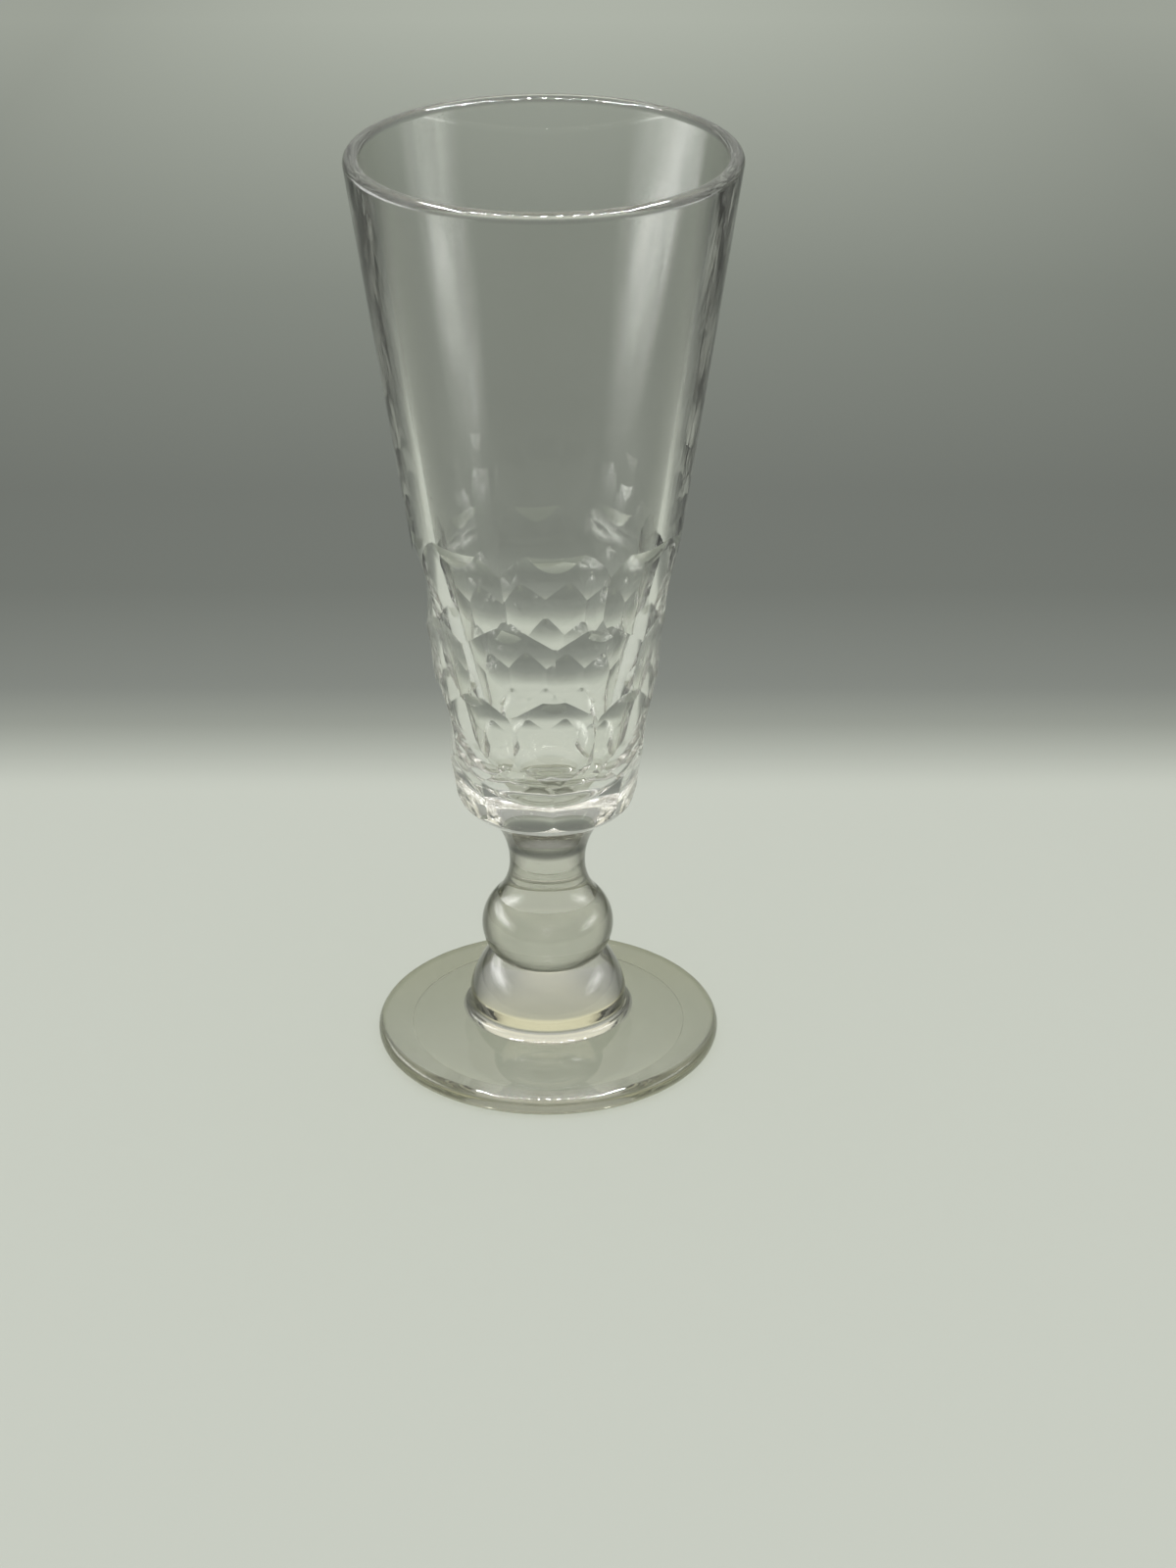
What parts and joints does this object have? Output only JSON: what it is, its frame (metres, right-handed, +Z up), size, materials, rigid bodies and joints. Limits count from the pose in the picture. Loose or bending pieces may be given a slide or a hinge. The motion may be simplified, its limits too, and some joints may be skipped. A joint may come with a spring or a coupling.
{
  "type": "absinthe glass",
  "caption": "Heavy footed absinthe glass: a conical bowl with a wheel-cut honeycomb of hollow facets, on a waisted neck, flattened ball knop, bell collar and disc foot.",
  "frame": {"origin": "on the glass's axis, in the plane of the flat ring that it stands on", "axes": "+Z up along the axis, towards the rim; -Y towards the front facet of the top row"},
  "size_m": [0.0694, 0.0694, 0.175],
  "materials": {
    "clear_glass": "clear old glass with a faint grey-green cast, fire-polished, facets wheel-cut and polished"
  },
  "bodies": {
    "root": {"bowl": "clear_glass", "neck": "clear_glass", "ball_knop": "clear_glass", "foot_collar": "clear_glass", "foot": "clear_glass"}
  },
  "joints": []
}
